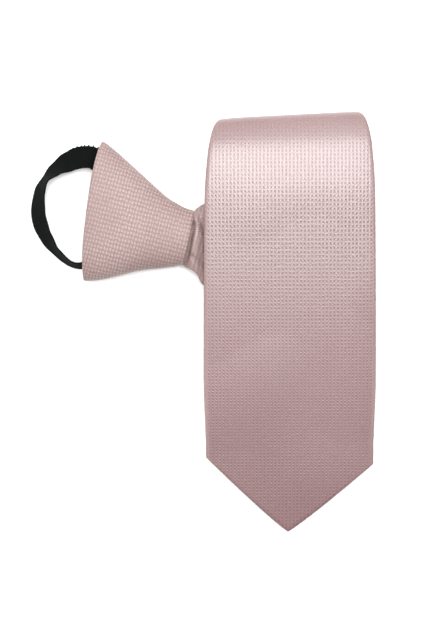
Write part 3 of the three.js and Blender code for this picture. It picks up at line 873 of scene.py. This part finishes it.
def loop_curve():
    """Points down the loop's middle, the tape's tilt there and the length up to each."""
    rows = np.array(LOOP_PLACES, float)
    keys = rows[:, :3] * [KNOT_LENGTH, RIM_HALF, RIM_HEIGHT]
    ends = np.vstack([2 * keys[0] - keys[1], keys, 2 * keys[-1] - keys[-2]])
    line, tilts = [], []
    for k in range(len(keys) - 1):
        a, b, c, d = ends[k:k + 4]
        for t in np.linspace(0, 1, SPLINE_STEPS, endpoint=False):
            line.append(0.5 * (2 * b + (c - a) * t + (2 * a - 5 * b + 4 * c - d) * t * t
                               + (3 * b - a - 3 * c + d) * t ** 3))
            tilts.append(mix(rows[k, 3], rows[k + 1, 3], t * t * (3 - 2 * t)))
    line.append(keys[-1])
    tilts.append(rows[-1, 3])
    line, tilts = np.array(line), np.radians(tilts)
    along = np.concatenate([[0], np.cumsum(np.linalg.norm(np.diff(line, axis=0), axis=1))])
    return line, tilts, along


def loop_frames(places):
    """The tape's middle, its crosswise direction and the direction out of its face."""
    line, tilts, along = loop_curve()
    paces = np.stack([np.gradient(line[:, k], along) for k in range(3)], axis=1)
    middle = np.stack([np.interp(places, along, line[:, k]) for k in range(3)], axis=1)
    way = np.stack([np.interp(places, along, paces[:, k]) for k in range(3)], axis=1)
    outward = np.stack([-way[:, 1], way[:, 0], np.zeros(len(places))], axis=1)
    outward /= np.linalg.norm(outward, axis=1, keepdims=True)
    tilt = np.interp(places, along, tilts)[:, None]
    up = np.array([0.0, 0.0, 1.0])
    crosswise = outward * np.cos(tilt) + up * np.sin(tilt)
    facewise = up * np.cos(tilt) - outward * np.sin(tilt)
    return middle, crosswise, facewise


def loop_tape():
    """The tape on edge round the loop, both ends in the knot."""
    length = loop_curve()[2][-1]
    places = np.linspace(0, length, LOOP_ROWS)
    middle, crosswise, facewise = loop_frames(places)
    across = np.linspace(-TAPE_WIDTH / 2, TAPE_WIDTH / 2, LOOP_COLUMNS)
    cup = TAPE_CUP * (across / across[-1]) ** 2 - TAPE_SINK
    points = (middle[:, None] + across[None, :, None] * crosswise[:, None]
              + cup[None, :, None] * facewise[:, None])
    flat = np.stack(np.broadcast_arrays(across[None, :], places[:, None]), axis=-1)
    world = in_knot(points[..., 0], points[..., 1], points[..., 2])
    return solid(grid_object("loop_tape", world, flat, BLACK), TAPE_CLOTH, 0)


# The zip's teeth: the rings and sides of one, how square it is, and half its length as a share of
# the pitch, on the loop and in the closed zip.
TOOTH_RINGS = 6
TOOTH_SIDES = 10
TOOTH_SQUARE = 0.55
LOOP_FILL = 0.36
CLOSED_FILL = 0.22


def squared(value):
    return np.sign(value) * np.abs(value) ** TOOTH_SQUARE


def tooth_shape():
    """Points and faces of one tooth, a ball with squared sides."""
    polar = np.linspace(0, math.pi, TOOTH_RINGS + 1)[1:-1]
    spin = np.linspace(0, 2 * math.pi, TOOTH_SIDES, endpoint=False)
    points = [(0.0, 0.0, 1.0)]
    for p in polar:
        for s in spin:
            points.append((squared(math.sin(p)) * squared(math.cos(s)),
                           squared(math.sin(p)) * squared(math.sin(s)), squared(math.cos(p))))
    points.append((0.0, 0.0, -1.0))
    last_ring = 1 + (len(polar) - 1) * TOOTH_SIDES
    faces = []
    for s in range(TOOTH_SIDES):
        t = (s + 1) % TOOTH_SIDES
        faces.append((0, 1 + s, 1 + t))
        for a in range(1, last_ring, TOOTH_SIDES):
            b = a + TOOTH_SIDES
            faces.append((a + s, b + s, b + t, a + t))
        faces.append((last_ring + s, len(points) - 1, last_ring + t))
    return np.array(points), faces


def bead_mesh(centres, along_dirs, across_dirs, up_dirs, sizes):
    """A row of teeth as one mesh, from their centres, directions and half sizes."""
    ball, faces = tooth_shape()
    points, polygons = [], []
    for centre, *directions in zip(centres, along_dirs, across_dirs, up_dirs):
        base = len(points) * len(ball)
        points.append(centre + (ball * sizes) @ np.array(directions))
        polygons += [tuple(base + i for i in face) for face in faces]
    return np.concatenate(points), polygons


def teeth_object(name, world_points, polygons):
    mesh = bpy.data.meshes.new(name)
    mesh.from_pydata(placed(world_points).tolist(), [], polygons)
    mesh.update()
    return new_object(name, mesh, TEETH, weld=False)


def loop_zip_teeth():
    """The row of teeth along the loop's outer edge."""
    length = loop_curve()[2][-1]
    count = int(length / TOOTH_PITCH)
    places = (np.arange(count) + 0.5) * length / count
    middle, crosswise, facewise = loop_frames(places)
    way = np.cross(crosswise, facewise)
    centre = TAPE_WIDTH / 2 + TOOTH_REACH - TOOTH_WIDTH / 2
    below = TAPE_THICK / 2 + CLEARANCE / 2 + TOOTH_HEIGHT / 2 - TAPE_SINK
    centres = middle + crosswise * centre - facewise * below
    points, polygons = bead_mesh(centres, way, crosswise, facewise,
                                 (TOOTH_PITCH * LOOP_FILL, TOOTH_WIDTH / 2, TOOTH_HEIGHT / 2))
    return teeth_object("loop_zip_teeth", in_knot(*points.T), polygons)


# The closed zip behind the tail: thickness of its cloth, heights above its floor, and how far aside
# of the middle a tooth's own middle lies, with half its width.
CLOSED_CLOTH = 0.8
CLOSED_MIDDLE = 0.5
CLOSED_TEETH_MIDDLE = 1.35
CLOSED_TOOTH_ASIDE = 0.75
CLOSED_TOOTH_HALF = 1.5
CLOSED_ROWS = 90
CLOSED_COLUMNS = 41


def closed_tape():
    """The two tapes of the closed zip as one band, its edges curled up in the knot."""
    start = TUCKED + CLOSED_START
    along = np.linspace(start, start - CLOSED_LENGTH, CLOSED_ROWS)[:, None]
    across = np.linspace(-CLOSED_WIDTH / 2, CLOSED_WIDTH / 2, CLOSED_COLUMNS)[None, :]
    curl = CLOSED_CUP * ease(along, -UNCURL, 0.0)
    rise = curl * (across / (CLOSED_WIDTH / 2)) ** 2
    world = in_knot(along, across, CLOSED_FLOOR + CLOSED_MIDDLE + rise)
    flat = np.stack(np.broadcast_arrays(across, along), axis=-1)
    return solid(grid_object("closed_tape", world, flat, BLACK), CLOSED_CLOTH, 0)


def closed_zip_teeth():
    """Its teeth, from one side and the other by turns."""
    start = TUCKED + CLOSED_START
    order = np.arange(2 * int(CLOSED_LENGTH / TOOTH_PITCH))
    along = start - (order + 0.5) * TOOTH_PITCH / 2
    across = np.where(order % 2, CLOSED_TOOTH_ASIDE, -CLOSED_TOOTH_ASIDE)
    height = np.full(len(order), CLOSED_FLOOR + CLOSED_TEETH_MIDDLE)
    centres = np.stack([along, across, height], axis=-1)
    axes = [np.tile(axis, (len(centres), 1)) for axis in np.eye(3)]
    points, polygons = bead_mesh(centres, *axes,
                                 (TOOTH_PITCH * CLOSED_FILL, CLOSED_TOOTH_HALF, TOOTH_HEIGHT / 2))
    return teeth_object("closed_zip_teeth", in_knot(*points.T), polygons)


# Making the pieces and putting each on the body in place of its CAD node.
def dress(piece, node):
    """Puts a piece on the one body, in place of its CAD node where it has one."""
    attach(piece, "root")
    if node:
        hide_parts(node)
    return piece


strip = dress(strip_cloth(), "tie_strip")
lining = dress(tip_lining(), None)
knot = dress(knot_cloth(), "knot_wrap")
loop = dress(loop_tape(), "neck_loop")
dress(loop_zip_teeth(), "loop_teeth")
closed = dress(closed_tape(), "closed_zip")
dress(closed_zip_teeth(), None)
slider = frame["nodes"]["zip_slider"]
slider.data.materials.clear()
slider.data.materials.append(METAL)

# The sheets' flat sizes: the strip's cloth is twice its width, because it meets behind.
GIRTHS = knot_girths()
LOOP_LENGTH = float(loop_curve()[2][-1])

# The floor, the lights and the camera.
CAMERA_HEIGHT = 0.9
SENSOR = 36.0
PHOTO_HEIGHT = 631
PIXELS_PER_M = 2067.6
PHOTO_MIDDLE = (-37.6, -85.32)  # the photo's middle on the plan, in millimetres
FLOOR_REACH = 3.0
FLOOR_DROP = 0.0002
WORLD_LIGHT = 0.40

# Soft lights in metres and watts: name, place, what it faces, size, power, colour.
LIGHTS = [
    ("key", (0.06, 0.125, 1.20), (0.06, 0.125, 0.0), (0.85, 0.51), 21.8, (1.0, 1.0, 0.98)),
    ("between", (0.05, 0.68, 1.02), (0.03, 0.08, 0.0), (1.2, 0.40), 5.0, (1.0, 1.0, 1.0)),
    ("roll", (0.05, 1.05, 0.60), (0.03, 0.05, 0.0), (1.2, 0.50), 6.0, (1.0, 1.0, 1.0)),
    ("side", (-1.1, 0.15, 0.60), (0.0, 0.0, 0.0), (0.5, 0.90), 6.0, (1.0, 1.0, 1.0))]


def floor():
    mesh = bpy.data.meshes.new("floor")
    r = FLOOR_REACH
    mesh.from_pydata([(-r, -r, 0), (r, -r, 0), (r, r, 0), (-r, r, 0)], [], [(0, 1, 2, 3)])
    finish = Nodes("floor_white")
    finish.shader.inputs["Base Color"].default_value = FLOOR_WHITE
    finish.shader.inputs["Roughness"].default_value = 0.8
    finish.shader.inputs["Specular IOR Level"].default_value = 0.2
    mesh.materials.append(finish.material)
    piece = bpy.data.objects.new("floor", mesh)
    bpy.context.scene.collection.objects.link(piece)
    piece.location.z = -FLOOR_DROP


def area_light(name, place, target, size, power, color):
    light = bpy.data.lights.new(name, "AREA")
    light.shape = "RECTANGLE"
    light.size, light.size_y = size
    light.energy = power
    light.color = color
    lamp = bpy.data.objects.new(name, light)
    lamp.location = place
    aim = Vector(target) - Vector(place)
    lamp.rotation_euler = aim.to_track_quat("-Z", "Y").to_euler()
    bpy.context.scene.collection.objects.link(lamp)


def camera():
    """Looks straight down, at the photo's scale on the surface."""
    view = bpy.data.cameras.new("camera")
    view.sensor_fit = "AUTO"
    view.sensor_width = SENSOR
    view.lens = SENSOR * CAMERA_HEIGHT / (PHOTO_HEIGHT / PIXELS_PER_M)
    view.clip_start = 0.01
    eye = bpy.data.objects.new("camera", view)
    middle = placed(np.array([*PHOTO_MIDDLE, 0.0]))
    eye.location = (middle[0], middle[1], CAMERA_HEIGHT)
    bpy.context.scene.collection.objects.link(eye)
    bpy.context.scene.camera = eye


def world():
    sky = bpy.data.worlds.new("studio")
    sky.use_nodes = True
    back = sky.node_tree.nodes["Background"]
    back.inputs[0].default_value = (1, 1, 1, 1)
    back.inputs[1].default_value = WORLD_LIGHT
    bpy.context.scene.world = sky


floor()
world()
for row in LIGHTS:
    area_light(*row)
camera()
bpy.context.scene.view_settings.view_transform = "Standard"
